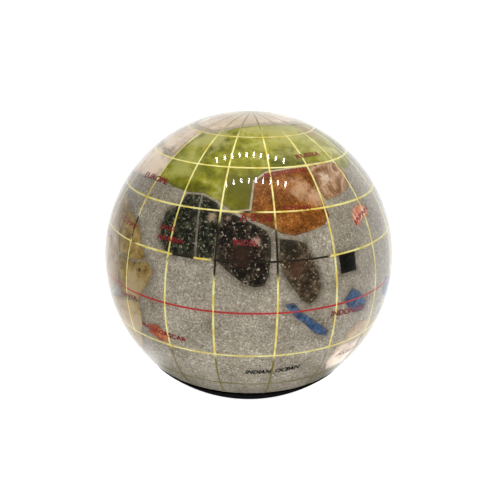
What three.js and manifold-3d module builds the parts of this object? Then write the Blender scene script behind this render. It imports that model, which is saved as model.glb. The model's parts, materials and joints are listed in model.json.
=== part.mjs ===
// A desk globe: a ball of inlaid stone plates and brass wires under a clear coat, turning on a low black base.
// Units are millimetres and +Z is up. The origin is under the ball's centre, where the felt pad meets the table.
import * as THREE from "three";
import { mergeVertices } from "three/addons/utils/BufferGeometryUtils.js";
import Module from "manifold-3d";

const wasm = await Module();
wasm.setup();

// ---- Driving dimensions ----

const ballRadius = 40; // outside of the clear coat
const cutDepth = 27.8; // ball's flat underside, below its centre
const turningGap = 0.4; // between the ball's underside and the base's top
const baseHeight = 6.8; // base's top above the table
const baseProud = 0.25; // the base's side belongs to a sphere this much larger than the ball

const gap = 0.3; // clearance between pieces that are set into each other
const slip = 0.1; // clearance between pieces that turn or slide on each other

const layerGap = 0.25; // between the layers of the ball, more than the depth of a facet
const coatThickness = 0.3;
const stoneThickness = 1.8;
const pocketFloor = 1.2; // ocean shell left under a stone's pocket
const wireWidth = 0.5;
const wireDepth = 0.2;
const solderRadius = 1.6;

// Degrees east and north. The wires are laid by hand, about 20 and 17 degrees apart.
const meridians = [10.5, 31, 50.5, 68.5, 90, 112, 133, 151, 170, 190, 210, 230, 250, 270, 290, 310, 330, 350];
const parallels = {
  north_17: 17.5, north_34: 34, north_51: 50.5, north_66: 65.5, south_17: -17.5, south_34: -34.5,
};
const frontLongitude = 80; // the side that faces -Y

const padInset = 2.2; // from the base's lower edge to the pad's
const padThickness = 0.8;
const coverInset = 3.2; // from the base's lower edge to the cover's
const coverThickness = 1;
const coverScrewInset = 2; // from the cover's edge to its screws
const screwBoss = 2.2; // from the cover's screws to the ballast
const ballastBore = 5.6;
const webThickness = 1.2; // base's top web under the washer
const coverScrewCount = 3;
const coverScrewHeadRadius = 1.3;
const coverScrewRadius = 0.7;
const coverScrewLength = 2.6;

const washerRadius = 12;
const washerBore = 4;
const washerThickness = 1.2;
const washerRecess = 0.6; // depth of the washer's seat in the base
const springWasherRadius = 4.6;
const springWasherThickness = 0.4;
const shoulderRadius = 2.6;
const screwHeadRadius = 4;
const screwHeadHeight = 1.8;
const screwSocketRadius = 1.6;
const screwSocketDepth = 1.1;
const threadRadius = 1.8;
const threadLength = 8;
const insertRadius = 4.4;
const insertLength = 11;

const roundSegments = 24; // sides of a turned piece
const screwSegments = 12; // sides of a cover screw
const ballSegments = 36; // sides of the ball round its equator
const coreSegments = 24; // the same, for the surfaces inside the ocean shell

const wedgeNear = 0.3; // a stone's wedge reaches from here to wedgeFar, as shares of the ball's radius
const wedgeFar = 1.1;
const wedgeTilt = 0.95; // an outline whose middle is above this share of the radius is drawn with another side up
const meridianFacets = 16; // how far round from the pole a meridian wire reaches, past the ball's underside

// ---- Places worked out from them ----

const baseTop = baseHeight;
const cutHeight = baseTop + turningGap;
const centreHeight = cutHeight + cutDepth;
const baseRadius = ballRadius + baseProud;
const lowerEdgeRadius = Math.sqrt(baseRadius ** 2 - (centreHeight - padThickness) ** 2);

const meridianOuter = ballRadius - coatThickness - layerGap; // the meridians' wires lie over the parallels'
const parallelOuter = meridianOuter - wireDepth - layerGap;
const surfaceRadius = parallelOuter - wireDepth - layerGap; // outer face of stones and ocean
const stoneInner = surfaceRadius - stoneThickness;
const pocketInner = stoneInner - gap;
const oceanInner = pocketInner - pocketFloor;
const coreRadius = oceanInner - gap;

const washerSeat = baseTop - washerRecess;
const washerTop = washerSeat + washerThickness;
const webBottom = washerSeat - webThickness;
const padRadius = lowerEdgeRadius - padInset;
const coverRadius = lowerEdgeRadius - coverInset;
const coverBottom = padThickness + gap;
const coverTop = coverBottom + coverThickness;
const coverScrewCircle = coverRadius - coverScrewInset;
const ballastRadius = coverScrewCircle - screwBoss;
const ballastBottom = coverTop + slip;
const ballastTop = webBottom - slip;
const springWasherTop = webBottom - slip;
const screwHeadTop = springWasherTop - springWasherThickness - slip;
const insertBottom = washerTop + slip;
const threadTop = insertBottom + threadLength;

// ---- Stone outlines, [degrees east, degrees north] ----

const outlines = {
  siberia: [[32, 42], [30.5, 54], [34, 65], [50, 67], [62, 71], [78, 73], [100, 74], [130, 72.5],
    [158, 70.5], [179, 66], [172, 57], [158, 50], [146, 46], [137, 45.5], [134, 50], [120, 51],
    [98, 50], [88, 49], [81.5, 45.5], [80, 35], [73, 34], [67, 37], [59.5, 39.5], [52, 39], [43, 40]],
  china: [[82, 45], [88, 48.5], [98, 49.5], [112, 50], [112, 40], [113, 34], [113.5, 31], [110, 28],
    [103, 26.5], [97, 25.5], [92, 26.5], [87, 29], [82, 31], [75, 33.5], [80.5, 34.5]],
  far_east: [[112.5, 50], [120, 50.5], [133.5, 49.5], [136, 45], [134, 41], [130, 38.5], [122, 37],
    [114, 36], [112.5, 40]],
  arabia: [[51, 36], [52, 38.5], [59, 39], [59, 35], [60, 28], [61, 17.5], [53, 17], [49, 18], [46, 21],
    [44.5, 26], [45, 31], [49, 33.5]],
  iran: [[59.5, 39], [67, 36.5], [68.5, 34], [68, 18], [61.5, 17.5], [60.5, 28], [59.5, 35]],
  india: [[69, 33.5], [73, 33.5], [77, 32], [82, 30], [86, 28], [88, 25], [88, 20], [87, 13],
    [85.5, 9.5], [82, 9], [78, 10.5], [73, 14], [68.5, 17.5]],
  indochina: [[91, 25], [96, 24.5], [101, 23], [102.5, 18.5], [105, 12], [105.5, 7.5], [104, 3.5],
    [101, 2], [98, 4], [95, 8.5], [92, 13], [90.5, 18]],
  philippines: [[113.5, 18], [121.5, 17.5], [121.5, 10.5], [114, 10.5]],
  japan: [[127.5, 32], [132.5, 32.5], [137, 30], [136, 27], [130.5, 26.5], [126.5, 24.5], [124, 28]],
  sumatra: [[92, 3], [95.5, 3.5], [99, -0.5], [104.5, -5], [110, -9.5], [109.5, -12], [104.5, -10],
    [99.5, -5], [95.5, -1.5]],
  borneo: [[119, 5], [123, 2.5], [128, -3], [125.5, -6], [121, -5.5], [117.5, -2.5], [115, 1]],
  new_guinea: [[142, 2], [150, 0], [157, -5], [149, -8.5], [141, -5], [140, -1]],
  madagascar: [[41.5, -10.5], [46, -9.5], [50.5, -12.5], [50, -16.5], [45, -16.5], [41, -14.5]],
  europe: [[-9, 36.5], [3, 38.5], [13, 39.5], [24, 40.5], [31.5, 41.5], [30.3, 49.5], [29.2, 50.7], [18, 52],
    [5, 52.7], [-5, 52.5], [-9, 46]],
  scandinavia: [[-5, 54], [5, 53.7], [18, 53], [29.3, 51.7], [29.5, 58], [31.5, 64.5], [32, 66.6], [16, 67],
    [3, 67], [0, 60]],
  polar_cap: [[-170, 76], [-130, 78], [-90, 79], [-50, 79], [-12, 78], [-7, 72], [3, 68.4], [15, 68],
    [33, 67.6], [38, 67.2], [50, 68.2], [62, 72.2], [78, 74.2], [100, 75.2], [130, 73.7], [158, 71.7],
    [172, 70]],
  africa_north_east: [[9, 32], [16, 31], [21, 28.5], [26, 26.5], [32, 24.5], [36, 21], [37.5, 17.5],
    [41, 13.5], [36, 11.5], [24, 11.5], [20, 18], [14, 24]],
  africa_north_west: [[-16, 20], [-12, 27], [-5, 34], [8.5, 33], [13.5, 24], [19.5, 17.5], [23.5, 11],
    [24, 1], [16, -7], [10, -2], [7, 5], [-8, 5], [-16, 13]],
  africa_east: [[24.5, 11], [36, 11], [41, 13], [45, 10], [43, 5], [39.5, 0.5], [38.5, -2.5], [27, -4],
    [24.5, 1]],
  africa_south: [[27, -4.5], [38.5, -3], [39, -11], [36, -17], [33, -25], [27, -32], [20, -34],
    [16, -27], [13, -17], [16.5, -7.5]],
  australia_north: [[119.5, -12.5], [124, -10], [131, -11], [134, -15], [131, -18.5], [126, -19.5],
    [119, -17.5]],
  australia_west: [[116, -19], [119, -18], [126, -20], [130, -19.5], [129, -31.5], [122, -33],
    [117, -33], [114, -26]],
  australia_east: [[134.5, -15], [142, -11], [147, -18], [153, -26], [150, -36], [141, -37],
    [129.5, -32], [130.5, -19]],
  new_zealand: [[168, -41], [171.5, -33], [178, -34.5], [175.5, -41]],
  greenland: [[-58, 76], [-55, 67], [-45, 60], [-36, 66], [-22, 71], [-20, 76]],
  canada: [[-140, 60], [-130, 54], [-124, 49.5], [-95, 49.5], [-83, 45.5], [-66, 45], [-56, 52],
    [-65, 60], [-80, 58], [-94, 62], [-86, 68], [-105, 70.5], [-128, 70], [-140, 69]],
  alaska: [[-165, 64], [-157, 58], [-141, 60], [-141, 69], [-157, 70.5]],
  united_states: [[-124, 48.5], [-95, 48.5], [-84, 44.5], [-70, 43], [-76, 35], [-81, 29], [-97, 28],
    [-106, 32], [-117, 33], [-124, 41]],
  mexico: [[-116, 32], [-106, 31], [-98, 27], [-96, 19], [-89, 20], [-83, 10], [-92, 14], [-104, 19],
    [-110, 25]],
  brazil: [[-72, 11], [-60, 9], [-50, 2], [-35, -6], [-39, -18], [-48, -26], [-56, -28], [-62, -18],
    [-68.5, -8], [-70, 0]],
  andes: [[-80, -3], [-77, 7], [-73, 10], [-71, 0], [-69.5, -8], [-63, -18], [-57, -28.5], [-66, -27],
    [-70, -31], [-72, -19], [-79, -8]],
  argentina: [[-69.5, -32], [-66, -28], [-57, -29.5], [-57, -37], [-63, -40], [-71, -40], [-73, -36]],
};

// ---- Materials ----

const material = (color, roughness, metalness = 0, extra = {}) =>
  new THREE.MeshStandardMaterial({ color, roughness, metalness, ...extra });

const looks = {
  black: () => material(0x0a0a0b, 0.12),
  iron: () => material(0x4c4b49, 0.7, 0.9),
  steel: () => material(0xa9abae, 0.35, 1),
  brass: () => material(0xd9b45a, 0.2, 1),
  nylon: () => material(0xe4e1d8, 0.6),
  felt: () => material(0x16241b, 0.95),
  resin: () => material(0x8f8a7d, 0.5),
  pearl: () => material(0xa8a195, 0.3),
  enamel: () => material(0xb8383a, 0.3),
  lacquer: () => material(0xffffff, 0.03, 0, { transparent: true, opacity: 0.12 }),
};

const stoneColours = {
  siberia: 0x84862f, china: 0xa56b2c, far_east: 0xb7947a, arabia: 0x2b2c20, iran: 0x30311f, india: 0x33261c,
  indochina: 0x4f3f2f, philippines: 0x1d1b19, japan: 0xd88f70, sumatra: 0x3a6088, borneo: 0x33597f,
  new_guinea: 0x3d6286, madagascar: 0xb5603c, europe: 0xd9cabe, scandinavia: 0xdccdc1, polar_cap: 0xe0d3c8,
  africa_north_east: 0xa98f5c, africa_north_west: 0xc09a84, africa_east: 0xa2875a, africa_south: 0x9c8156,
  australia_north: 0xc0aa85, australia_west: 0xd6bdb0, australia_east: 0xb59a78, new_zealand: 0x5c7f63,
  greenland: 0xddd6cc, canada: 0x8d5a3c, alaska: 0x6f8fa0, united_states: 0x7d8c56, mexico: 0xb98a4a,
  brazil: 0x4e7d5d, andes: 0x9a6f53, argentina: 0xa9a07c,
};

// ---- Helpers ----

const radians = THREE.MathUtils.degToRad;

// A closed geometry as a manifold-3d solid.
function solid(geometry) {
  const bare = new THREE.BufferGeometry();
  bare.setAttribute("position", geometry.getAttribute("position"));
  bare.setIndex(geometry.index);
  const merged = mergeVertices(bare, 1e-4);
  return new wasm.Manifold(
    new wasm.Mesh({
      numProp: 3,
      vertProperties: merged.attributes.position.array,
      triVerts: new Uint32Array(merged.index.array),
    }),
  );
}

// A manifold-3d solid as a geometry with flat faces.
function geometryOf(made) {
  const mesh = made.getMesh();
  const geometry = new THREE.BufferGeometry();
  geometry.setAttribute("position", new THREE.BufferAttribute(mesh.vertProperties, 3));
  geometry.setIndex(new THREE.BufferAttribute(mesh.triVerts, 1));
  return geometry;
}

// A solid of revolution about Z from [radius, height] points, which close on themselves or on the axis.
function turned(points, segments = roundSegments) {
  const profile = points.map(([radius, height]) => new THREE.Vector2(radius, height));
  if (points[0][0] > 0) {
    profile.push(profile[0].clone());
  }
  const lathe = new THREE.LatheGeometry(profile, segments);
  lathe.rotateX(Math.PI / 2);
  const made = solid(lathe);
  return made.volume() < 0 ? solid(insideOut(lathe)) : made;
}

function insideOut(geometry) {
  const index = geometry.index.array;
  for (let i = 0; i < index.length; i += 3) {
    [index[i + 1], index[i + 2]] = [index[i + 2], index[i + 1]];
  }
  return geometry;
}

const cylinder = (radius, bottom, top, segments = roundSegments) =>
  turned([[0, bottom], [radius, bottom], [radius, top], [0, top]], segments);

// A ball round the globe's centre. Its edges run along meridians and parallels.
function ball(radius, segments = ballSegments) {
  const geometry = new THREE.SphereGeometry(radius, segments, segments / 2);
  geometry.rotateX(Math.PI / 2);
  geometry.translate(0, 0, centreHeight);
  return solid(geometry);
}

const shell = (inner, outer) => ball(outer).subtract(ball(inner));

// Everything above the ball's flat underside.
function aboveCut(made) {
  const side = 4 * ballRadius;
  const below = new THREE.BoxGeometry(side, side, side);
  below.translate(0, 0, cutHeight - side / 2);
  return made.subtract(solid(below));
}

// The direction of a place on the globe from its centre.
function direction([east, north]) {
  const turn = radians(east - frontLongitude);
  const tilt = radians(north);
  return new THREE.Vector3(Math.cos(tilt) * Math.sin(turn), -Math.cos(tilt) * Math.cos(turn), Math.sin(tilt));
}

// An outline's directions in anticlockwise order as seen from outside, each side moved outwards by a distance.
function outlineDirections(outline, distance) {
  const ring = outline.map(direction);
  const middle = ring.reduce((sum, v) => sum.add(v), new THREE.Vector3()).normalize();
  const turning = new THREE.Vector3();
  ring.forEach((v, i) => turning.add(new THREE.Vector3().crossVectors(v, ring[(i + 1) % ring.length])));
  if (turning.dot(middle) < 0) {
    ring.reverse();
  }
  const moved = ring.map((v, i) => {
    const before = ring[(i + ring.length - 1) % ring.length];
    const after = ring[(i + 1) % ring.length];
    const inwards = new THREE.Vector3().crossVectors(before, v).normalize();
    const next = new THREE.Vector3().crossVectors(v, after).normalize();
    const between = inwards.clone().add(next).normalize();
    const step = distance / surfaceRadius / between.dot(inwards);
    return v.clone().addScaledVector(between, -step).normalize();
  });
  return { moved, middle };
}

// A solid wedge from near the ball's centre out past its surface, through an outline.
function wedge(outline, distance) {
  const { moved, middle } = outlineDirections(outline, distance);
  const across = new THREE.Vector3(0, 0, 1);
  if (Math.abs(middle.z) > wedgeTilt) {
    across.set(0, 1, 0);
  }
  const right = across.cross(middle).normalize();
  const up = new THREE.Vector3().crossVectors(middle, right);
  const flat = moved.map((v) => new THREE.Vector2(v.dot(right), v.dot(up)).divideScalar(v.dot(middle)));
  const prism = new THREE.ExtrudeGeometry(new THREE.Shape(flat), { depth: 1, bevelEnabled: false });
  const place = prism.getAttribute("position");
  for (let i = 0; i < place.count; i += 1) {
    const out = (place.getZ(i) > 0.5 ? wedgeFar : wedgeNear) * ballRadius;
    place.setXYZ(i, place.getX(i) * out, place.getY(i) * out, out);
  }
  prism.applyMatrix4(new THREE.Matrix4().makeBasis(right, up, middle));
  prism.translate(0, 0, centreHeight);
  return solid(mergedIndex(prism));
}

// A geometry without an index gets one, with its shared corners merged.
function mergedIndex(geometry) {
  const bare = new THREE.BufferGeometry();
  bare.setAttribute("position", geometry.getAttribute("position"));
  return mergeVertices(bare, 1e-4);
}

// A flat wire along a meridian, from the ball's underside to the pole.
function meridianBand(east) {
  const outer = meridianOuter;
  const inner = meridianOuter - wireDepth;
  const facet = (2 * Math.PI) / ballSegments;
  const start = Math.PI / 2 - meridianFacets * facet; // below the ball's underside
  const outline = new THREE.Shape();
  outline.absarc(0, 0, outer, start, Math.PI / 2, false);
  outline.absarc(0, 0, inner, Math.PI / 2, start, true);
  const band = new THREE.ExtrudeGeometry(outline, {
    depth: wireWidth, bevelEnabled: false, curveSegments: meridianFacets / 2,
  });
  band.translate(0, 0, -wireWidth / 2);
  band.rotateX(Math.PI / 2);
  band.rotateZ(radians(east - frontLongitude - 90));
  band.translate(0, 0, centreHeight);
  return solid(mergedIndex(band));
}

// A flat wire round the ball along a parallel.
function parallelWire(north) {
  const tilt = radians(north);
  const half = wireWidth / 2;
  const inner = parallelOuter - wireDepth;
  const corner = (radius, side) => [
    radius * Math.cos(tilt) - side * Math.sin(tilt),
    centreHeight + radius * Math.sin(tilt) + side * Math.cos(tilt),
  ];
  return turned(
    [corner(inner, -half), corner(parallelOuter, -half), corner(parallelOuter, half), corner(inner, half)],
    ballSegments,
  );
}

const join = (solids) => solids.reduce((sum, one) => sum.add(one));

// ---- Sub-parts of the base ----

// A turned slice of the base's sphere, with a chamber for the ballast and a recess for the cover.
function baseBody() {
  const side = [];
  const steps = 3;
  const bottomAngle = Math.asin((padThickness - centreHeight) / baseRadius);
  const topAngle = Math.asin((baseTop - centreHeight) / baseRadius);
  for (let i = 0; i <= steps; i += 1) {
    const angle = bottomAngle + ((topAngle - bottomAngle) * i) / steps;
    side.push([baseRadius * Math.cos(angle), centreHeight + baseRadius * Math.sin(angle)]);
  }
  const body = turned([
    [coverRadius + gap, padThickness],
    ...side,
    [washerRadius + slip, baseTop],
    [washerRadius + slip, washerSeat],
    [shoulderRadius + slip, washerSeat],
    [shoulderRadius + slip, webBottom],
    [ballastRadius + gap, webBottom],
    [ballastRadius + gap, coverTop + slip],
    [coverRadius + gap, coverTop + slip],
  ], ballSegments);
  return body.subtract(join(coverScrewPlaces.map((at) => screwHole(at))));
}

const ballastWeight = () => turned([
  [ballastBore, ballastBottom],
  [ballastRadius, ballastBottom],
  [ballastRadius, ballastTop],
  [ballastBore, ballastTop],
]);

const bottomCover = () =>
  cylinder(coverRadius, coverBottom, coverTop).subtract(join(coverScrewPlaces.map((at) => screwHole(at))));

const feltPad = () => cylinder(padRadius, 0, padThickness);

const coverScrewPlaces = Array.from({ length: coverScrewCount }, (_, i) => {
  const turn = (2 * Math.PI * i) / coverScrewCount;
  return [coverScrewCircle * Math.cos(turn), coverScrewCircle * Math.sin(turn)];
});

// A countersunk screw pointing up, its head flush with the cover's underside.
function coverScrew([x, y], grow = 0) {
  const headTop = coverBottom + coverScrewHeadRadius - coverScrewRadius;
  return turned([
    [0, coverBottom - grow],
    [coverScrewHeadRadius + grow, coverBottom - grow],
    [coverScrewHeadRadius + grow, coverBottom],
    [coverScrewRadius + grow, headTop],
    [coverScrewRadius + grow, coverBottom + coverScrewLength + grow],
    [0, coverBottom + coverScrewLength + grow],
  ], screwSegments).translate([x, y, 0]);
}

const screwHole = (at) => coverScrew(at, slip);

const thrustWasher = () => turned([
  [washerBore, washerSeat],
  [washerRadius, washerSeat],
  [washerRadius, washerTop],
  [washerBore, washerTop],
]);

const springWasher = () => turned([
  [shoulderRadius + slip, springWasherTop - springWasherThickness],
  [springWasherRadius, springWasherTop - springWasherThickness],
  [springWasherRadius, springWasherTop],
  [shoulderRadius + slip, springWasherTop],
]);

// ---- Sub-parts of the ball ----

// The screw turns with the ball: its head hangs in the base's chamber and its shoulder runs in the base's web.
function shoulderScrew() {
  const screwHeadBottom = screwHeadTop - screwHeadHeight;
  const body = turned([
    [0, screwHeadBottom],
    [screwHeadRadius, screwHeadBottom],
    [screwHeadRadius, screwHeadTop],
    [shoulderRadius, screwHeadTop],
    [shoulderRadius, insertBottom - slip],
    [threadRadius, insertBottom - slip],
    [threadRadius, threadTop],
    [0, threadTop],
  ]);
  const socket = cylinder(screwSocketRadius, screwHeadBottom - 1, screwHeadBottom + screwSocketDepth, 6);
  return body.subtract(socket);
}

const threadedInsert = () => turned([
  [0, threadTop + gap],
  [threadRadius + slip, threadTop + gap],
  [threadRadius + slip, insertBottom],
  [insertRadius, insertBottom],
  [insertRadius, insertBottom + insertLength],
  [0, insertBottom + insertLength],
]);

function resinCore() {
  const bore = cylinder(insertRadius + slip, cutHeight - 1, insertBottom + insertLength + gap);
  const recess = cylinder(washerRadius + gap, cutHeight - 1, washerTop + slip);
  return aboveCut(ball(coreRadius, coreSegments)).subtract(bore).subtract(recess);
}

// The meridians' wires meet at the pole in a spot of solder, so they are one piece.
function meridianWires() {
  const top = centreHeight + meridianOuter;
  const solder = cylinder(solderRadius, top - wireDepth, top);
  return aboveCut(join(meridians.map((east) => meridianBand(east))).add(solder));
}

const stone = (outline) => aboveCut(wedge(outline, -gap / 2).intersect(shell(stoneInner, surfaceRadius)));

function oceanShell() {
  const core = ball(oceanInner, coreSegments);
  const pockets = Object.values(outlines).map((outline) => wedge(outline, gap / 2));
  const cut = join(pockets).subtract(ball(pocketInner, coreSegments));
  return aboveCut(ball(surfaceRadius).subtract(core).subtract(cut));
}

const clearCoat = () => aboveCut(shell(ballRadius - coatThickness, ballRadius));

// ---- The object ----

const globe = new THREE.Group();

function place(name, made, look) {
  const mesh = new THREE.Mesh(geometryOf(made), look);
  mesh.name = name;
  globe.add(mesh);
}

place("base_body", baseBody(), looks.black());
place("ballast_weight", ballastWeight(), looks.iron());
place("bottom_cover", bottomCover(), looks.steel());
place("felt_pad", feltPad(), looks.felt());
coverScrewPlaces.forEach((at, i) => place(`cover_screw_${i + 1}`, coverScrew(at), looks.steel()));
place("thrust_washer", thrustWasher(), looks.nylon());
place("spring_washer", springWasher(), looks.steel());

place("shoulder_screw", shoulderScrew(), looks.steel());
place("threaded_insert", threadedInsert(), looks.brass());
place("resin_core", resinCore(), looks.resin());
place("ocean_shell", oceanShell(), looks.pearl());
for (const [name, outline] of Object.entries(outlines)) {
  place(`stone_${name}`, stone(outline), material(stoneColours[name], 0.25));
}
place("meridian_wires", meridianWires(), looks.brass());
for (const [name, north] of Object.entries(parallels)) {
  place(`parallel_wire_${name}`, parallelWire(north), looks.brass());
}
place("equator_line", parallelWire(0), looks.enamel());
place("clear_coat", clearCoat(), looks.lacquer());

export default globe;
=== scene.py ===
"""A desk globe of inlaid stone under a clear coat, on a low black base.

Lengths are in metres. In the finishes, and in names that end in _mm, they are in millimetres.
"""

import json
import math

import bpy
from mathutils import Matrix, Quaternion, Vector
from mathutils.kdtree import KDTree


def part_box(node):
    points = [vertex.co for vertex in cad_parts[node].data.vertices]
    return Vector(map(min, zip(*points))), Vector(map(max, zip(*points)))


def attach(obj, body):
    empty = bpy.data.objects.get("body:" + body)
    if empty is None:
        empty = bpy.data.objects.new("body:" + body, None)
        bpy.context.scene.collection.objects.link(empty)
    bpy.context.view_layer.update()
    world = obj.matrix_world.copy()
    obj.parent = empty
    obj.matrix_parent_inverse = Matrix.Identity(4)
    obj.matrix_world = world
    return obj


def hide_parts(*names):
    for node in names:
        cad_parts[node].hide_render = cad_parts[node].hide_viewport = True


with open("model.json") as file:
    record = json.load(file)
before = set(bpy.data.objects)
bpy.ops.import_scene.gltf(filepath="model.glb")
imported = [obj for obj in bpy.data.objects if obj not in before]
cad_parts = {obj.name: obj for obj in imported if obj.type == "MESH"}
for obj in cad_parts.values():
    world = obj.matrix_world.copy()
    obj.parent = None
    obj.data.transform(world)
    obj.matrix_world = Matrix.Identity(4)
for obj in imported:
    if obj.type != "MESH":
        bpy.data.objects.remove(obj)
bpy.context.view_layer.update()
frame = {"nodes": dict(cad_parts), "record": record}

MM = 0.001
merge_distance = 1e-6

# ---- Sizes taken from the frame ----

coat_low, coat_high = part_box("clear_coat")
base_low, base_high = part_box("base_body")
pad_low, pad_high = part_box("felt_pad")

ball_radius = (coat_high.x - coat_low.x) / 2
centre = Vector((0, 0, coat_high.z - ball_radius))
underside = coat_low.z
core_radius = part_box("resin_core")[1].z - centre.z
front_longitude = 80  # degrees east that face the viewer

# ---- Sizes of the finish ----

ocean_radius = ball_radius - 0.11 * MM
inlay_radius = ball_radius - 0.07 * MM
wire_radius = ball_radius - 0.035 * MM
letter_radius = ball_radius - 0.02 * MM
letter_depth = 0.024 * MM
coat_wall = 0.45 * MM
ocean_gap = 0.3 * MM  # between the ocean's inner face and the core
wire_width = 0.54 * MM
wire_depth = 0.35 * MM
line_width = 0.56 * MM
stone_corner = 1.1 * MM
hollow_gap = 0.25 * MM  # between the ball and the hollow of the base
base_lip = 0.35 * MM
pad_lip = 0.25 * MM

# The places of the wires, in degrees east and north.
MERIDIANS = (10.5, 31, 50.5, 68.5, 90, 112, 133, 151, 170, 190, 210, 230, 250, 270, 290, 310, 330, 350)
PARALLELS = {
    "north_17": 17.5,
    "north_34": 34,
    "north_51": 50.5,
    "north_66": 65.5,
    "south_17": -17.5,
    "south_34": -34.5,
}


def direction(east, north):
    """The way from the ball's centre to a place on the globe."""
    turn = math.radians(east - front_longitude)
    tilt = math.radians(north)
    return Vector((math.cos(tilt) * math.sin(turn), -math.cos(tilt) * math.cos(turn), math.sin(tilt)))


# ---- Camera ----

camera_distance = 5 * ball_radius
camera_height = math.radians(20.15)
camera_roll = math.radians(1.15)

camera = bpy.data.objects.new("camera", bpy.data.cameras.new("camera"))
bpy.context.scene.collection.objects.link(camera)
bpy.context.scene.camera = camera
camera.data.sensor_width = 36
camera.data.lens = 50.9
camera.data.shift_x = 0.0026
camera.data.shift_y = 0.008
camera.data.clip_start = 0.01
camera.data.clip_end = 100
camera_way = Vector((0, -math.cos(camera_height), math.sin(camera_height)))
camera.location = centre + camera_distance * camera_way
looking = camera_way.to_track_quat("Z", "Y")
camera.rotation_mode = "QUATERNION"
camera.rotation_quaternion = looking @ Quaternion((0, 0, 1), camera_roll)


# ---- Shader maths ----


class Value:
    """A socket of a material, on which sums are written as Python expressions."""

    def __init__(self, nodes, socket):
        self.nodes = nodes
        self.socket = socket

    def maths(self, operation, *others):
        return self.nodes.node("Math", {"operation": operation}, inputs=(self, *others))

    def __add__(self, other):
        return self.maths("ADD", other)

    def __sub__(self, other):
        return self.maths("SUBTRACT", other)

    def __rsub__(self, other):
        return self.nodes.node("Math", {"operation": "SUBTRACT"}, inputs=(other, self))

    def __mul__(self, other):
        return self.maths("MULTIPLY", other)

    __radd__ = __add__
    __rmul__ = __mul__

    def above(self, start, end):
        """0 below start and 1 above end, or the other way round where start is the larger."""
        settings = {"interpolation_type": "SMOOTHSTEP", "clamp": True}
        return self.nodes.node("MapRange", settings, inputs=(self, start, end, 0, 1))


class Nodes:
    """A node tree, and the ways of adding nodes to it."""

    def __init__(self, tree):
        self.tree = tree

    def put(self, socket, value):
        if isinstance(value, Value):
            self.tree.links.new(value.socket, socket)
        else:
            socket.default_value = value

    def node(self, kind, settings=None, inputs=(), output=0, **named):
        """Adds a node, sets it up, feeds its sockets in order or by name, and gives one of its outputs."""
        node = self.tree.nodes.new("ShaderNode" + kind)
        for name, value in (settings or {}).items():
            setattr(node, name, value)
        for socket, value in zip(node.inputs, inputs):
            self.put(socket, value)
        for name, value in named.items():
            self.put(node.inputs[name.replace("_", " ")], value)
        return Value(self, node.outputs[output])

    def vector(self, operation, *inputs, output=0, **named):
        return self.node("VectorMath", {"operation": operation}, inputs, output, **named)

    def mix(self, factor, first, second):
        """First where factor is 0, second where it is 1. Both are colours."""
        mixer = self.node("Mix", {"data_type": "RGBA"}).socket.node
        for name, value in (("Factor", factor), ("A", first), ("B", second)):
            socket = next(s for s in mixer.inputs if s.name == name and s.enabled)
            self.put(socket, (*value, 1) if isinstance(value, tuple) else value)
        return Value(self, next(s for s in mixer.outputs if s.enabled))


class Finish(Nodes):
    """A material with one Principled shader and the nodes that feed it."""

    def __init__(self, name, **constants):
        self.material = bpy.data.materials.new(name)
        self.material.use_nodes = True
        super().__init__(self.material.node_tree)
        self.shader = self.tree.nodes["Principled BSDF"]
        for socket, value in constants.items():
            self.set(socket.replace("_", " "), value)

    def set(self, socket, value):
        self.put(self.shader.inputs[socket], value)

    def place(self, offset=(0, 0, 0), scale=(1, 1, 1)):
        """Object coordinates in millimetres, moved and stretched."""
        raw = self.node("TexCoord", output="Object")
        sizes = [s / MM for s in scale]
        return self.node("Mapping", Vector=raw, Location=offset, Scale=sizes)

    def far_from(self, place, east, north):
        """The distance in millimetres from a place on the globe."""
        spot = (centre + direction(east, north) * ball_radius) / MM
        return self.vector("DISTANCE", place, spot, output="Value")

    def noise(self, place, scale, detail=3, roughness=0.5, distortion=0.0):
        """Cloudy noise from 0 to 1, its scale per millimetre."""
        shape = {"Scale": scale, "Detail": detail, "Roughness": roughness, "Distortion": distortion}
        return self.node("TexNoise", Vector=place, **shape)

    def attribute(self, name):
        return self.node("Attribute", {"attribute_name": name}, output="Fac")

    def ramp(self, factor, *stops):
        """A colour ramp from (position, red, green, blue) stops."""
        value = self.node("ValToRGB", Fac=factor)
        colours = value.socket.node.color_ramp.elements
        while len(colours) < len(stops):
            colours.new(0.5)
        for element, (position, *colour) in zip(colours, stops):
            element.position = position
            element.color = (*colour, 1)
        return value

    def bump(self, height, depth_mm, strength=1.0):
        return self.node("Bump", Height=height, Distance=depth_mm * MM, Strength=strength)


def dress(piece, finish):
    piece.data.materials.clear()
    piece.data.materials.append(finish.material)


# ---- Stone finishes ----


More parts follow.
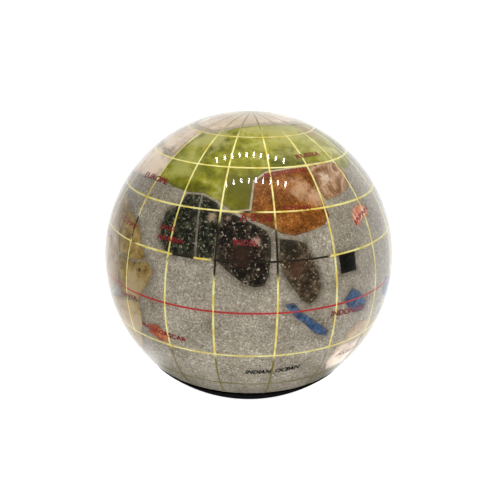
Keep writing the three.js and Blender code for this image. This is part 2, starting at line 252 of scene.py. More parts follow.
def stone_finish(
    name,
    colours,
    scale=0.3,
    grain=0.4,
    grain_scale=2.0,
    distortion=0.5,
    offset=0,
    veins=(),
    flecks=(),
    patches=(),
    rim=(0.4, (0.16, 0.14, 0.1)),
    roughness=0.34,
):
    """Polished stone: a cloudy and grainy colour from a ramp, with veins and irregular flecks over it.

    Each vein is (scale, width, colour), each kind of fleck (scale, threshold, colour) and each patch
    (degrees east, degrees north, radius in millimetres, colour). Scales are per millimetre. The rim is how
    strongly and to what colour the stone fades at its outline.
    """
    finish = Finish(name, Specular_IOR_Level=0.05)
    place = finish.place(offset=(offset, offset * 0.7, -offset))
    clouds = finish.noise(place, scale, detail=4, roughness=0.55, distortion=distortion)
    specks = finish.noise(place, grain_scale, detail=4, roughness=0.7)
    tone = (clouds * (1 - grain) + specks * grain - 0.5) * (1.25 + grain) + 0.5
    colour = finish.ramp(tone, *colours)
    for vein_scale, width, tint in veins:
        bend = finish.noise(place, vein_scale, detail=4, roughness=0.6, distortion=1.0)
        colour = finish.mix((bend - 0.5).maths("ABSOLUTE").above(width, 0), colour, tint)
    for fleck_scale, threshold, tint in flecks:
        spot = finish.noise(place, fleck_scale, detail=3, roughness=0.55, distortion=0.3)
        colour = finish.mix(spot.above(threshold, threshold + 0.06), colour, tint)
    for east, north, radius, tint in patches:
        far = finish.far_from(finish.place(), east, north)
        ragged = far + (finish.noise(place, 2.2 / radius, detail=4, roughness=0.65) - 0.5) * (radius * 2.5)
        colour = finish.mix(ragged.above(radius * 1.3, radius * 0.2) * 0.85, colour, tint)
    rim_strength, rim_colour = rim
    colour = finish.mix(finish.attribute("rim") * rim_strength, colour, rim_colour)
    finish.set("Base Color", colour)
    finish.set("Roughness", specks * 0.2 + (roughness - 0.1))
    finish.set("Normal", finish.bump(specks, 0.01, 0.4))
    return finish


FINISHES = {
    "green_jade": lambda: stone_finish(
        "green jade",
        (
            (0.3, 0.11, 0.115, 0.003),
            (0.44, 0.24, 0.24, 0.008),
            (0.56, 0.39, 0.38, 0.035),
            (0.72, 0.62, 0.6, 0.24),
        ),
        scale=0.12,
        grain=0.3,
        grain_scale=0.7,
        offset=3,
        distortion=0.8,
        patches=(
            (42, 49, 5, (0.5, 0.5, 0.17)),
            (46, 64, 6, (0.55, 0.53, 0.22)),
            (112, 66, 9, (0.55, 0.53, 0.2)),
            (146, 66, 4, (0.42, 0.28, 0.08)),
            (78, 41, 9, (0.15, 0.14, 0.006)),
        ),
    ),
    "orange_jasper": lambda: stone_finish(
        "orange jasper",
        (
            (0.25, 0.07, 0.018, 0.002),
            (0.45, 0.23, 0.078, 0.008),
            (0.6, 0.4, 0.15, 0.025),
            (0.78, 0.6, 0.33, 0.12),
        ),
        scale=0.3,
        grain=0.6,
        offset=11,
        patches=((103, 41.5, 3, (0.62, 0.42, 0.26)), (110, 38, 2.6, (0.66, 0.46, 0.3))),
    ),
    "marbled_agate": lambda: stone_finish(
        "marbled agate",
        (
            (0.3, 0.24, 0.11, 0.04),
            (0.46, 0.4, 0.22, 0.11),
            (0.6, 0.6, 0.42, 0.27),
            (0.75, 0.78, 0.64, 0.5),
        ),
        scale=0.22,
        grain=0.25,
        offset=21,
        distortion=2.2,
        veins=((0.16, 0.01, (0.2, 0.09, 0.05)),),
        patches=((119, 44.5, 1.8, (0.76, 0.64, 0.5)),),
    ),
    "dark_green_stone": lambda: stone_finish(
        "dark green stone",
        (
            (0.3, 0.004, 0.005, 0.002),
            (0.5, 0.013, 0.014, 0.008),
            (0.66, 0.04, 0.042, 0.026),
            (0.8, 0.12, 0.12, 0.085),
        ),
        scale=0.5,
        grain=0.5,
        grain_scale=1.4,
        offset=31,
        flecks=((0.6, 0.55, (0.06, 0.066, 0.034)), (1.7, 0.59, (0.33, 0.34, 0.24))),
        patches=((65.4, 31.6, 1.2, (0.5, 0.38, 0.26)),),
    ),
    "dark_brown_stone": lambda: stone_finish(
        "dark brown stone",
        (
            (0.3, 0.005, 0.004, 0.003),
            (0.5, 0.013, 0.009, 0.006),
            (0.66, 0.05, 0.034, 0.021),
            (0.8, 0.2, 0.14, 0.09),
        ),
        scale=0.5,
        grain=0.5,
        grain_scale=1.4,
        offset=41,
        flecks=((0.6, 0.58, (0.08, 0.06, 0.036)), (1.7, 0.61, (0.46, 0.4, 0.29))),
        patches=(
            (77, 19.5, 3.5, (0.045, 0.02, 0.011)),
            (82.5, 24.4, 1.1, (0.55, 0.34, 0.28)),
            (71.8, 31.6, 0.8, (0.3, 0.19, 0.14)),
        ),
    ),
    "brown_granite": lambda: stone_finish(
        "brown granite",
        (
            (0.3, 0.02, 0.012, 0.006),
            (0.5, 0.06, 0.038, 0.02),
            (0.66, 0.14, 0.095, 0.055),
            (0.8, 0.3, 0.23, 0.15),
        ),
        scale=0.5,
        grain=0.5,
        grain_scale=1.3,
        offset=51,
        flecks=((0.7, 0.58, (0.15, 0.11, 0.065)), (1.8, 0.6, (0.44, 0.36, 0.25))),
        patches=((94.5, 22, 3, (0.014, 0.016, 0.009)), (96.5, 14.5, 2.2, (0.1, 0.045, 0.024))),
    ),
    "black_stone": lambda: stone_finish(
        "black stone",
        ((0.3, 0.0005, 0.0005, 0.0004), (0.6, 0.002, 0.0025, 0.0015), (0.8, 0.016, 0.017, 0.013)),
        scale=0.5,
        offset=61,
        veins=((0.5, 0.006, (0.05, 0.055, 0.045)),),
        rim=(0.2, (0.1, 0.09, 0.07)),
    ),
    "salmon_jasper": lambda: stone_finish(
        "salmon jasper",
        ((0.3, 0.5, 0.15, 0.08), (0.5, 0.72, 0.28, 0.16), (0.7, 0.85, 0.5, 0.36)),
        scale=0.5,
        offset=71,
        flecks=((0.9, 0.55, (0.88, 0.72, 0.6)), (1.2, 0.62, (0.5, 0.06, 0.04))),
    ),
    "blue_sodalite": lambda: stone_finish(
        "blue sodalite",
        (
            (0.28, 0.02, 0.035, 0.08),
            (0.5, 0.05, 0.11, 0.23),
            (0.68, 0.1, 0.2, 0.36),
            (0.8, 0.34, 0.42, 0.5),
        ),
        scale=0.5,
        offset=81,
        veins=((0.35, 0.02, (0.015, 0.025, 0.05)),),
        rim=(0.6, (0.24, 0.22, 0.2)),
    ),
    "red_jasper": lambda: stone_finish(
        "red jasper",
        ((0.3, 0.26, 0.06, 0.025), (0.5, 0.48, 0.14, 0.06), (0.7, 0.62, 0.28, 0.15)),
        scale=0.5,
        offset=91,
    ),
    "pink_shell": lambda: stone_finish(
        "pink shell",
        ((0.3, 0.55, 0.42, 0.32), (0.48, 0.74, 0.62, 0.5), (0.66, 0.88, 0.79, 0.68)),
        scale=0.22,
        grain=0.35,
        grain_scale=0.8,
        offset=101,
        veins=((0.14, 0.012, (0.5, 0.36, 0.27)),),
        patches=(
            (60, 79, 9, (0.62, 0.52, 0.37)),
            (16, 46, 8, (0.93, 0.82, 0.7)),
            (22, 52, 1.9, (0.3, 0.23, 0.16)),
            (2, 52.3, 1.9, (0.42, 0.31, 0.21)),
        ),
        roughness=0.3,
    ),
    "tan_jasper": lambda: stone_finish(
        "tan jasper",
        (
            (0.3, 0.18, 0.11, 0.025),
            (0.5, 0.36, 0.245, 0.075),
            (0.66, 0.5, 0.38, 0.16),
            (0.8, 0.68, 0.57, 0.34),
        ),
        scale=0.35,
        grain=0.4,
        offset=111,
        flecks=((1.1, 0.63, (0.05, 0.032, 0.014)),),
        patches=(
            (36, 2, 5, (0.52, 0.42, 0.25)),
            (33, -12, 8, (0.56, 0.46, 0.29)),
            (38.4, 9, 0.6, (0.012, 0.009, 0.005)),
        ),
    ),
    "beige_marble": lambda: stone_finish(
        "beige marble",
        ((0.3, 0.38, 0.28, 0.17), (0.5, 0.52, 0.41, 0.27), (0.7, 0.66, 0.55, 0.4)),
        scale=0.3,
        offset=121,
        veins=((0.25, 0.015, (0.32, 0.18, 0.1)),),
    ),
}


def ocean_finish():
    """Pearl chips in clear resin: small flat flakes, each its own tone and tilt, with painted white glints
    on them and painted shadow round each stone.
    """
    finish = Finish("pearl ocean", Specular_IOR_Level=0.6)
    place = finish.place()
    sway = finish.node("TexNoise", output="Color", Vector=place, Scale=0.9, Detail=3.0)
    bent = finish.vector("ADD", place, finish.vector("SCALE", sway, Scale=2.5))
    chips = finish.node("TexVoronoi", output="Color", Vector=bent, Scale=2.4)
    crease = finish.noise(place, 1.3, detail=6, roughness=0.75, distortion=1.2)
    drift = finish.noise(place, 0.14, detail=3, roughness=0.6)
    # Painted glints: a fine noise that lightens the flakes' tone and puts white flecks on them, standing
    # in for their sparkle.
    painted_glint = finish.noise(place, 2.6, detail=3, roughness=0.7, distortion=0.8)
    tone = chips * 0.3 + crease * 0.7
    colour = finish.ramp(
        tone * 0.8 + drift * 0.35 + painted_glint * 0.95 - 0.53,
        (0.2, 0.13, 0.105, 0.075),
        (0.44, 0.37, 0.325, 0.255),
        (0.6, 0.56, 0.515, 0.43),
        (0.8, 0.95, 0.93, 0.87),
    )
    # Painted glints: white flecks mixed into the ocean's colour.
    colour = finish.mix(painted_glint.above(0.6, 0.68) * 0.5, colour, (1.0, 0.98, 0.94))
    colour = finish.mix(finish.attribute("seam"), colour, (0.62, 0.53, 0.37))
    # Painted shadow: the resin darkened round each stone.
    colour = finish.mix(finish.attribute("halo"), colour, (0.1, 0.08, 0.04))
    finish.set("Base Color", colour)
    finish.set("Metallic", tone * 0.35)
    finish.set("Roughness", 0.5 - tone * 0.2)
    tilt = finish.vector("SUBTRACT", chips, (0.5, 0.5, 0.5))
    lean = finish.vector("SCALE", tilt, Scale=0.7)
    normal = finish.node("NewGeometry", output="Normal")
    finish.set("Normal", finish.vector("NORMALIZE", finish.vector("ADD", normal, lean)))
    return finish


# Where the wires are painted dark, as painted reflections of the dim room: degrees east and north, and how
# far round that in millimetres.
PAINTED_DARK_REFLECTIONS = ((79.5, 21, 9.4), (56, 17, 3.2), (101, 18, 6), (31, 23, 3))


def brass_finish():
    """Polished brass wire, painted dark brown in a few places as dark reflections of the dim room and
    painted darker as shade near the pole and low on the ball, and rougher there; painted highlights
    lighten it in patches along its length.
    """
    finish = Finish("brass wire", Metallic=0.1)
    place = finish.place()
    height = finish.node("SeparateXYZ", output="Z", inputs=(place,))
    pole, middle = coat_high.z / MM, centre.z / MM
    # Painted shade: darker near the pole and low on the ball.
    shade_near_pole = height.above(pole - 5, pole - 1)
    shade_low_down = height.above(middle - 11.5, middle - 14)
    painted_shade_and_dark_reflection = shade_near_pole.maths("MAXIMUM", shade_low_down) * 0.7
    ragged = (finish.noise(place, 0.25) - 0.5) * 6
    # Painted dark reflections at the listed places.
    for east, north, radius in PAINTED_DARK_REFLECTIONS:
        far = finish.far_from(place, east, north) + ragged
        painted_shade_and_dark_reflection = painted_shade_and_dark_reflection.maths("MAXIMUM", far.above(radius * 1.08, radius * 0.85))
    # Painted highlights: paler gold in patches along the wire.
    painted_highlight = finish.noise(place, 0.35).above(0.35, 0.6)
    gold = finish.mix(painted_highlight, (0.88, 0.73, 0.15), (1.0, 0.96, 0.48))
    finish.set("Base Color", finish.mix(painted_shade_and_dark_reflection, gold, (0.022, 0.014, 0.005)))
    finish.set("Roughness", painted_shade_and_dark_reflection * 0.2 + 0.3)
    scratch = finish.noise(place, 7.0)
    finish.set("Normal", finish.bump(scratch, 0.02, 0.4))
    return finish


def enamel_finish(name, colour):
    """Opaque paint or ink, faintly patchy."""
    finish = Finish(name, Specular_IOR_Level=0.3)
    place = finish.place()
    patch = finish.noise(place, 1.5, detail=4)
    faint = tuple(c * 1.3 + 0.01 for c in colour)
    finish.set("Base Color", finish.mix(patch.above(0.45, 0.75), colour, faint))
    finish.set("Roughness", patch * 0.2 + 0.3)
    return finish


def coat_finish():
    """Clear polished lacquer: a thin mirror over what is under it, strongest near its outline."""
    finish = Finish("clear lacquer", Base_Color=(1, 1, 1, 1), Metallic=1.0, Roughness=0.035)
    swell = finish.noise(finish.place(), 0.12, detail=1)
    normal = finish.bump(swell, 0.02, 0.08)
    finish.set("Normal", normal)
    finish.set("Alpha", finish.node("Fresnel", IOR=1.5, Normal=normal))
    return finish


def base_finish():
    """Polished black plastic with faint dust and fine scratches."""
    finish = Finish("black base", Specular_IOR_Level=0.06)
    place = finish.place()
    dust = finish.noise(place, 3.0, detail=5, roughness=0.7)
    black, dusty = (0.002, 0.002, 0.002), (0.008, 0.008, 0.008)
    finish.set("Base Color", finish.mix(dust.above(0.6, 0.8) * 0.3, black, dusty))
    finish.set("Roughness", dust * 0.15 + 0.06)
    scratch = finish.noise(finish.place(scale=(1, 1, 12)), 0.8, detail=4)
    finish.set("Normal", finish.bump(scratch, 0.004, 0.3))
    return finish


def felt_finish():
    """Dark green felt with a fibrous nap."""
    finish = Finish("green felt", Sheen_Weight=0.5, Sheen_Roughness=0.6, Specular_IOR_Level=0.1)
    place = finish.place()
    fibre = finish.noise(place, 6.0, detail=5, roughness=0.75, distortion=1.5)
    finish.set("Base Color", finish.ramp(fibre, (0.3, 0.008, 0.022, 0.012), (0.7, 0.03, 0.06, 0.038)))
    finish.set("Roughness", fibre * 0.2 + 0.8)
    finish.set("Normal", finish.bump(fibre, 0.25, 0.8))
    return finish


def metal_finish(name, colour, roughness, grain_scale=(1, 1, 1), metallic=1.0):
    """Machined or cast metal, or moulded plastic where metallic is 0."""
    finish = Finish(name, Metallic=metallic)
    place = finish.place(scale=grain_scale)
    grain = finish.noise(place, 2.5, detail=5, roughness=0.65)
    dark = tuple(c * 0.6 for c in colour)
    finish.set("Base Color", finish.mix(grain.above(0.35, 0.7), dark, colour))
    finish.set("Roughness", grain * 0.25 + (roughness - 0.12))
    finish.set("Normal", finish.bump(grain, 0.03, 0.5))
    return finish


# ---- Modelling helpers ----


def deselect():
    bpy.ops.object.select_all(action="DESELECT")


def choose(piece):
    deselect()
    piece.select_set(True)
    bpy.context.view_layer.objects.active = piece


def named(name):
    piece = bpy.context.active_object
    piece.name = name
    piece.data.name = name
    return piece


def settle(piece):
    """Moves a piece's place into its mesh, so that its object sits at the origin."""
    choose(piece)
    bpy.ops.object.transform_apply(location=True, rotation=True, scale=True)


def modify(piece, kind, **settings):
    choose(piece)
    modifier = piece.modifiers.new(kind, kind)
    for name, value in settings.items():
        setattr(modifier, name, value)
    bpy.ops.object.modifier_apply(modifier=modifier.name)


def smooth(piece, degrees=40):
    choose(piece)
    bpy.ops.object.shade_smooth_by_angle(angle=math.radians(degrees))


def in_edit(piece):
    choose(piece)
    bpy.ops.object.mode_set(mode="EDIT")
    bpy.ops.mesh.select_all(action="SELECT")


def out_of_edit():
    bpy.ops.object.mode_set(mode="OBJECT")


def copy_of(piece, name):
    twin = piece.copy()
    twin.data = piece.data.copy()
    twin.name = name
    bpy.context.scene.collection.objects.link(twin)
    return twin


def joined(pieces, name):
    deselect()
    for piece in pieces:
        piece.select_set(True)
    bpy.context.view_layer.objects.active = pieces[0]
    bpy.ops.object.join()
    return named(name)


def close_up(piece):
    in_edit(piece)
    bpy.ops.mesh.remove_doubles(threshold=merge_distance)
    bpy.ops.mesh.fill_holes(sides=0)
    bpy.ops.mesh.normals_make_consistent(inside=False)
    out_of_edit()


def turned(name, profile, steps):
    """A closed section of (radius, height) points, spun about the upright axis."""
    deselect()
    bpy.ops.mesh.primitive_circle_add(vertices=len(profile), radius=1)
    piece = named(name)
    for vertex, (radius, height) in zip(piece.data.vertices, profile):
        vertex.co = (radius, 0, height)
    in_edit(piece)
    bpy.ops.mesh.spin(steps=steps, angle=2 * math.pi, center=(0, 0, 0), axis=(0, 0, 1))
    bpy.ops.mesh.remove_doubles(threshold=merge_distance)
    bpy.ops.mesh.normals_make_consistent(inside=False)
    out_of_edit()
    return piece


def round_ball(name, radius):
    deselect()
    bpy.ops.mesh.primitive_ico_sphere_add(subdivisions=7, radius=radius, location=centre)
    piece = named(name)
    settle(piece)
    return piece


def finish_piece(piece, body, slot, *nodes):
    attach(piece, body)
    if nodes:
        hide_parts(*nodes)


# ---- The ball ----


def make_shell(name, radius, wall):
    """A ball's smooth wall, open underneath."""
    shell = round_ball(name, radius)
    in_edit(shell)
    bpy.ops.mesh.bisect(plane_co=(0, 0, underside), plane_no=(0, 0, 1), clear_inner=True)
    out_of_edit()
    modify(shell, "SOLIDIFY", thickness=wall, offset=-1)
    smooth(shell)
    return shell


def make_stone(node, whole_ball):
    """A stone plate: the CAD plate's outline on the ball's true curve."""
    cutter = copy_of(node, "cutter")
    cutter.parent = None
    in_edit(cutter)
    bpy.ops.mesh.remove_doubles(threshold=merge_distance)
    bpy.ops.transform.resize(value=(1.06, 1.06, 1.06), center_override=centre)
    bpy.ops.transform.shrink_fatten(value=0.1 * MM)
    out_of_edit()
    corner_angle = math.radians(18)
    modify(cutter, "BEVEL", width=stone_corner, segments=3, limit_method="ANGLE", angle_limit=corner_angle)
    piece = copy_of(whole_ball, node.name + "_plate")
    modify(piece, "BOOLEAN", operation="INTERSECT", object=cutter, solver="MANIFOLD")
    bpy.data.objects.remove(cutter)
    in_edit(piece)
    bpy.ops.mesh.remove_doubles(threshold=2 * merge_distance)
    out_of_edit()
    smooth(piece, 30)
    return piece


def wire_section(name, width):
    """A wire's section at the front of the equator, as wide as given along Z, with rounded corners."""
    deselect()
    place = centre - Vector((0, wire_radius - wire_depth / 2, 0))
    bpy.ops.mesh.primitive_plane_add(size=1, location=place, rotation=(0, math.pi / 2, 0))
    piece = named(name)
    piece.scale = (width, wire_depth, 1)
    settle(piece)
    in_edit(piece)
    bpy.ops.mesh.bevel(offset=wire_depth * 0.45, segments=3, affect="VERTICES")
    bpy.ops.mesh.delete(type="ONLY_FACE")
    out_of_edit()
    return piece


def make_parallel(name, north, width):
    """A wire laid round the ball along a parallel."""
    piece = wire_section(name, width)
    in_edit(piece)
    bpy.ops.transform.rotate(value=math.radians(north), orient_axis="X", center_override=centre)
    bpy.ops.mesh.spin(steps=240, angle=2 * math.pi, center=centre, axis=(0, 0, 1))
    out_of_edit()
    close_up(piece)
    smooth(piece, 60)
    return piece


def make_meridian(name):
    """A wire from the ball's underside over to the pole, at the front."""
    piece = wire_section(name, wire_width)
    low = math.asin((centre.z - underside) / wire_radius)
    in_edit(piece)
    bpy.ops.transform.rotate(value=math.pi / 2, orient_axis="Y", center_override=centre)
    bpy.ops.transform.rotate(value=-low, orient_axis="X", center_override=centre)
    bpy.ops.mesh.spin(steps=134, angle=math.pi / 2 + low, center=centre, axis=(1, 0, 0))
    out_of_edit()
    close_up(piece)
    smooth(piece, 60)
    return piece


def turn_mesh(piece, degrees):
    """Turns a mesh about the ball's upright axis."""
    turn = Matrix.Rotation(math.radians(degrees), 4, "Z")
    piece.data.transform(Matrix.Translation(centre) @ turn @ Matrix.Translation(-centre))


# ---- Lettering ----

# Each word has the places, in degrees east and north, where its middle line starts and ends, and the
# height of its capitals in millimetres.
RED_WORDS = (
    ("EUROPE", (20, 41), (39, 41), 1.5),
    ("RUSSIA", (108, 54.5), (126.5, 54.5), 1.4),
    ("MONGOLIA", (87, 47.3), (110.5, 48.6), 1.35),
    ("CHINA", (94, 35.2), (105.5, 34.6), 1.25),
    ("A S I A", (76.3, 32.2), (88.8, 31.8), 1.9),
    ("INDIA", (74.6, 24), (83, 23.5), 1.35),
    ("SAUDI", (44.5, 25.6), (51.6, 25.8), 1.2),
    ("ARABIA", (44.1, 22.2), (56.1, 22.2), 1.2),
    ("EGYPT", (18.7, 23.5), (32, 22.3), 1.4),
    ("KENYA", (27, -3.1), (37.3, -2), 1.1),
    ("MADAGASCAR", (38.2, -11.7), (58, -13), 1.4),
    ("JAPAN", (125, 26.3), (136.8, 29.7), 1.4),
    ("INDONESIA", (110, -3), (127, -4.5), 1.5),
    ("AUSTRALIA", (118, -24), (146, -24), 1.0),
    ("CANADA", (-112, 57), (-86, 57), 1.1),
    ("UNITED STATES", (-117, 40), (-84, 40), 1.1),
    ("MEXICO", (-110, 27.5), (-99, 24), 0.9),
    ("BRAZIL", (-61, -8), (-45, -8), 1.1),
    ("ARGENTINA", (-71, -35), (-57, -35), 0.9),
    ("AFRICA", (-8, 14), (16, 14), 1.5),
)
BLACK_WORDS = (
    ("INDIAN  OCEAN", (79.5, -25.9), (101.3, -24.7), 1.5),
    ("PACIFIC  OCEAN", (-170, 8), (-138, 8), 1.1),
    ("ATLANTIC  OCEAN", (-50, 27), (-22, 27), 1.0),
)


def make_words(name, words, slant, weight):
    """Printed words: flat letters, wrapped onto the ball just under the coat's face."""
    pieces = []
    for text, start, end, height in words:
        deselect()
        bpy.ops.object.text_add(location=(0, 0, 0))
        word = bpy.context.active_object
        word.data.body = text
        word.data.shear = slant
        word.data.offset = weight
        word.data.extrude = 0.01
        word.data.resolution_u = 4
        bpy.ops.object.convert(target="MESH")
        word = bpy.context.active_object
        in_edit(word)
        bpy.ops.mesh.remove_doubles(threshold=1e-4)
        out_of_edit()
        wrap(word, direction(*start), direction(*end), height * MM)
        pieces.append(word)
    return joined(pieces, name)


def wrap(word, start, end, height):
    """Lays a flat word along the arc from start to end, its letters standing square to the arc."""
    xs = [v.co.x for v in word.data.vertices]
    ys = [v.co.y for v in word.data.vertices]
    left, width = min(xs), max(xs) - min(xs)
    low, tall = min(ys), max(ys) - min(ys)
    up = start.cross(end).normalized()
    angle = start.angle(end)
    for vertex in word.data.vertices:
        along = Quaternion(up, angle * (vertex.co.x - left) / width) @ start
        rise = ((vertex.co.y - low) / tall - 0.5) * height / ball_radius
        out = letter_radius if vertex.co.z > 0 else letter_radius - letter_depth
        vertex.co = centre + (along + up * rise).normalized() * out
    word.data.update()


# ---- The base ----


def make_base():
    """The base's smooth body: the CAD body's section, turned finely, with rounded lips."""
    curve_radius = ball_radius + hollow_gap
    steps = 16
    low_angle = math.asin((base_low.z - centre.z) / curve_radius)
    high_angle = math.asin((base_high.z - centre.z) / curve_radius)
    profile = []
    for i in range(steps + 1):
        angle = low_angle + (high_angle - low_angle) * i / steps
        profile.append((curve_radius * math.cos(angle), centre.z + curve_radius * math.sin(angle)))
    washer_low, washer_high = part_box("thrust_washer")
    ballast_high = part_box("ballast_weight")[1]
    cover_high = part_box("bottom_cover")[1]
    bore = 2.7 * MM
    close = 0.1 * MM
    loose = 0.3 * MM
    profile += [
        (washer_high.x + close, base_high.z),
        (washer_high.x + close, washer_low.z),
        (bore, washer_low.z),
        (bore, ballast_high.z + close),
        (ballast_high.x + loose, ballast_high.z + close),
        (ballast_high.x + loose, cover_high.z + close),
        (cover_high.x + loose, cover_high.z + close),
        (cover_high.x + loose, base_low.z),
    ]
    piece = turned("base_body_gloss", profile, 192)
    lip_angle = math.radians(35)
    modify(piece, "BEVEL", width=base_lip, segments=3, limit_method="ANGLE", angle_limit=lip_angle)
    smooth(piece, 30)
    return piece


def make_pad():
    """The felt pad, with a soft rounded rim."""
    deselect()
    height = pad_high.z - pad_low.z
    middle = (pad_low + pad_high) / 2
    bpy.ops.mesh.primitive_cylinder_add(vertices=128, radius=pad_high.x, depth=height, location=middle)
    piece = named("felt_pad_soft")
    settle(piece)
    modify(piece, "BEVEL", width=pad_lip, segments=3, limit_method="ANGLE")
    smooth(piece, 40)
    return piece


# ---- Marks on the plates and the ocean ----


def outline_of(plate):
    """The corners of a plate's side wall, ready for finding the nearest one."""
    wall = 0.3 * MM
    corners = plate.data.vertices
    outline = set()
    for edge in plate.data.edges:
        first, second = (corners[i].co for i in edge.vertices)
        if abs((first - centre).length - (second - centre).length) > wall:
            outline.update(edge.vertices)
    tree = KDTree(len(outline))
    for i in outline:
        tree.insert(corners[i].co, i)
    tree.balance()
    return tree


def mark(piece, name, values):
    piece.data.attributes.new(name, "FLOAT", "POINT").data.foreach_set("value", values)


def mark_rim(plate, outline):
    """Marks a plate's corners with how near its outline is."""
    reach = 0.9 * MM
    mark(plate, "rim", [max(0.0, 1 - outline.find(v.co)[2] / reach) for v in plate.data.vertices])


# How strongly the resin round a stone is darkened with painted shadow, by the stone's look. Round any
# other it is 0.25.
PAINTED_SHADOWS = {"dark": 0.85, "tan_jasper": 0.6, "blue_sodalite": 0.4}


def mark_surroundings(shell, plates, outlines):
    """Marks the ocean's corners with the painted shadow round each stone and the pale seams between
    stones.
    """
    reach = 2 * MM
    near = 1.1 * MM
    spheres = {}
    for name, plate in plates.items():
        corners = [v.co for v in plate.data.vertices]
        middle = sum(corners, Vector()) / len(corners)
        spheres[name] = middle, reach + max((corner - middle).length for corner in corners)
    painted_shadows, seams = [], []
    for vertex in shell.data.vertices:
        halo, around = 0.0, []
        for name, (middle, radius) in spheres.items():
            if (vertex.co - middle).length < radius:
                distance = outlines[name].find(vertex.co)[2]
                look = "dark" if slots[name].startswith(("dark", "black", "brown")) else slots[name]
                around.append((distance, look))
                # Painted shadow, strongest next to the stone and set by its look.
                halo = max(halo, PAINTED_SHADOWS.get(look, 0.25) * max(0, 1 - distance / reach) ** 1.5)
        around.sort()
        seam = 0.0
        if len(around) > 1:
            seam = min(1.0, 2.5 * max(0, 1 - around[1][0] / near))
            looks = {around[0][1], around[1][1]}
            if looks in ({"dark"}, {"tan_jasper"}):
                seam *= 0.15
            elif "dark" in looks:
                seam *= 0.6
            halo *= 1 - seam
        seams.append(seam)
        painted_shadows.append(halo)
    mark(shell, "halo", painted_shadows)
    mark(shell, "seam", seams)


# ---- Making everything ----

slots = {part["node"]: part["material_slot"] for part in frame["record"]["subparts"]}
stone_nodes = [node for name, node in sorted(frame["nodes"].items()) if name.startswith("stone_")]

whole_ball = round_ball("whole_ball", inlay_radius)
plates, outlines = {}, {}
stone_looks = {slot: make() for slot, make in FINISHES.items()}
for node in stone_nodes:
    plate = make_stone(node, whole_ball)
    outlines[node.name] = outline_of(plate)
    mark_rim(plate, outlines[node.name])
    dress(plate, stone_looks[slots[node.name]])
    finish_piece(plate, "ball", slots[node.name], node.name)
    plates[node.name] = plate
bpy.data.objects.remove(whole_ball)

ocean = make_shell("pearl_ocean", ocean_radius, ocean_radius - core_radius - ocean_gap)
mark_surroundings(ocean, plates, outlines)
dress(ocean, ocean_finish())
finish_piece(ocean, "ball", "ocean", "ocean_shell")

brass = brass_finish()
pattern = make_meridian("meridian_pattern")
wires = []
for east in MERIDIANS:
    wire = copy_of(pattern, f"meridian_{len(wires)}")
    turn_mesh(wire, east - front_longitude)
    wires.append(wire)
bpy.data.objects.remove(pattern)
meridian_wires = joined(wires, "meridian_wire_set")
dress(meridian_wires, brass)
finish_piece(meridian_wires, "ball", "wires", "meridian_wires")

for name, north in PARALLELS.items():
    wire = make_parallel(f"wire_{name}", north, wire_width)
    dress(wire, brass)
    finish_piece(wire, "ball", "wires", f"parallel_wire_{name}")

equator = make_parallel("red_equator", 0, line_width)
dress(equator, enamel_finish("red line", (0.5, 0.05, 0.05)))
finish_piece(equator, "ball", "equator_line", "equator_line")

red_words = make_words("red_map_words", RED_WORDS, slant=0, weight=0.022)
dress(red_words, enamel_finish("red print", (0.27, 0.008, 0.014)))
finish_piece(red_words, "ball", "red_lettering")
black_words = make_words("black_map_words", BLACK_WORDS, slant=0.3, weight=0.03)
dress(black_words, enamel_finish("black print", (0.008, 0.008, 0.008)))
finish_piece(black_words, "ball", "black_lettering")

coat = make_shell("clear_coat_polish", ball_radius, coat_wall)
dress(coat, coat_finish())
finish_piece(coat, "ball", "clear_coat", "clear_coat")

base = make_base()
dress(base, base_finish())
finish_piece(base, "base", "base_body", "base_body")
pad = make_pad()
dress(pad, felt_finish())
finish_piece(pad, "base", "felt_pad", "felt_pad")

steel = metal_finish("zinc plated steel", (0.62, 0.62, 0.64), 0.35)
HIDDEN_FINISHES = {
    "ballast_weight": metal_finish("cast iron", (0.12, 0.115, 0.11), 0.7),
    "bottom_cover": metal_finish("stamped steel", (0.55, 0.55, 0.56), 0.4, grain_scale=(8, 0.6, 1)),
    "thrust_washer": metal_finish("nylon", (0.8, 0.78, 0.72), 0.5, metallic=0),
    "threaded_insert": metal_finish("machined brass", (0.8, 0.58, 0.24), 0.3, grain_scale=(1, 1, 8)),
    "resin_core": metal_finish("cast resin", (0.4, 0.37, 0.31), 0.55, metallic=0),
}
REPLACED = {"ocean_shell", "meridian_wires", "equator_line", "clear_coat", "base_body", "felt_pad"}
for name, node in frame["nodes"].items():
    if name in REPLACED or name.startswith(("stone_", "parallel_wire_")):
        continue
    dress(node, HIDDEN_FINISHES.get(name, steel))

# ---- Floor and light ----

backdrop_radius = 3
lamp_distance = 0.6
lamp_width = 0.011
lamp_length = 0.06
lamp_power = 0.055


def glowing_finish(name, strength, **constants):
    """White and lit from within."""
    glow = {"Emission_Color": (1, 1, 1, 1), "Emission_Strength": strength, "Specular_IOR_Level": 0.0}
    return Finish(name, **glow, **constants)


def make_floor():
    deselect()
    bpy.ops.mesh.primitive_plane_add(size=60, location=(0, 0, 0))
    floor = named("floor")
    dress(floor, glowing_finish("pale floor", 0.9, Roughness=0.9, Base_Color=(0.9, 0.9, 0.9, 1)))
    floor.visible_glossy = False


def make_backdrop():
    """A pale dome round the studio, seen behind the floor's far edge."""
    deselect()
    bpy.ops.mesh.primitive_uv_sphere_add(radius=backdrop_radius, segments=64, ring_count=32)
    dome = named("backdrop")
    dress(dome, glowing_finish("pale backdrop", 1.0))
    dome.visible_diffuse = False
    dome.visible_glossy = False
    dome.visible_shadow = False


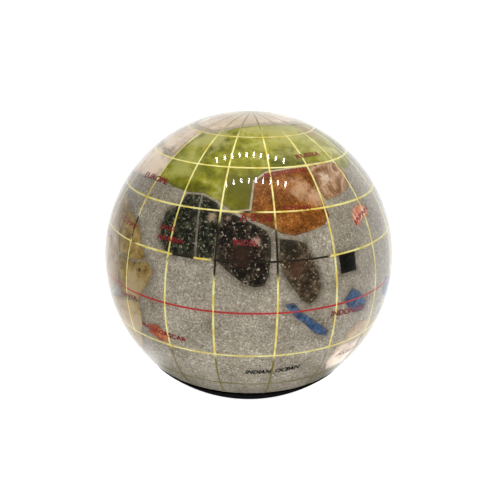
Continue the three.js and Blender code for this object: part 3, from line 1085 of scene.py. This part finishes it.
def small_lamp(name, place):
    """A small bright lamp facing the ball, longer from front to back than across."""
    data = bpy.data.lights.new(name, "AREA")
    data.shape = "ELLIPSE"
    data.size = lamp_width
    data.size_y = lamp_length
    data.energy = lamp_power
    lamp = bpy.data.objects.new(name, data)
    bpy.context.scene.collection.objects.link(lamp)
    away = (place - centre).normalized()
    across = (Vector((1, 0, 0)) - away * away.x).normalized()
    facing = Matrix((across, away.cross(across), away)).transposed()
    lamp.matrix_world = Matrix.Translation(place) @ facing.to_4x4()
    lamp.visible_diffuse = False


def mirrored_place(east, north, distance):
    """Where something stands whose mirror image shows at this place on the ball."""
    out = direction(east, north)
    spot = centre + out * ball_radius
    to_camera = (camera.location - spot).normalized()
    away = 2 * out.dot(to_camera) * out - to_camera
    return spot + away * distance


def lamp_row(name, west, east, ends, middle, count):
    """A row of lamps, mirrored on the ball from west to east, a little further north in the middle."""
    for i in range(count):
        t = i / (count - 1)
        north = ends + (middle - ends) * 4 * t * (1 - t)
        small_lamp(f"{name}_{i}", mirrored_place(west + (east - west) * t, north, lamp_distance))


def make_sky():
    """A broad soft light from above."""
    data = bpy.data.lights.new("soft_sky", "SUN")
    data.angle = math.radians(110)
    data.energy = 3.6
    data.color = (1, 0.985, 0.95)
    lamp = bpy.data.objects.new("soft_sky", data)
    bpy.context.scene.collection.objects.link(lamp)
    lamp.rotation_euler = (math.radians(42), math.radians(8), 0)
    lamp.visible_glossy = False


def make_room():
    """The surroundings that the ball mirrors: pale behind the object and dim all round."""
    world = bpy.data.worlds.new("studio")
    bpy.context.scene.world = world
    world.use_nodes = True
    room = Nodes(world.node_tree)
    way = room.node("TexCoord", output="Generated")
    behind = room.vector("DOT_PRODUCT", way, -camera_way, output="Value")
    height = room.node("SeparateXYZ", output="Z", inputs=(way,))
    right = room.node("SeparateXYZ", output="X", inputs=(way,))
    behind = behind + right.maths("MAXIMUM", 0) * 0.3
    lift = height + right.maths("ABSOLUTE") * 0.9
    pale = behind.above(0.05, 0.95) * lift.above(-0.47, -0.33)
    dim = room.mix(height.above(0.75, 1.0), (0.12, 0.11, 0.1), (0.5, 0.5, 0.47))
    dim = room.mix(height.above(-0.3, -0.5), dim, (0.02, 0.02, 0.02))
    shade = room.mix(pale, dim, (1.5, 1.5, 1.5))
    room.put(room.tree.nodes["Background"].inputs["Color"], shade)


make_floor()
make_backdrop()
lamp_row("back_lamp", 60.5, 99, 53, 56.3, 10)
lamp_row("front_lamp", 69, 96.5, 43.6, 45.4, 9)
make_sky()
make_room()
bpy.context.scene.view_settings.view_transform = "Standard"
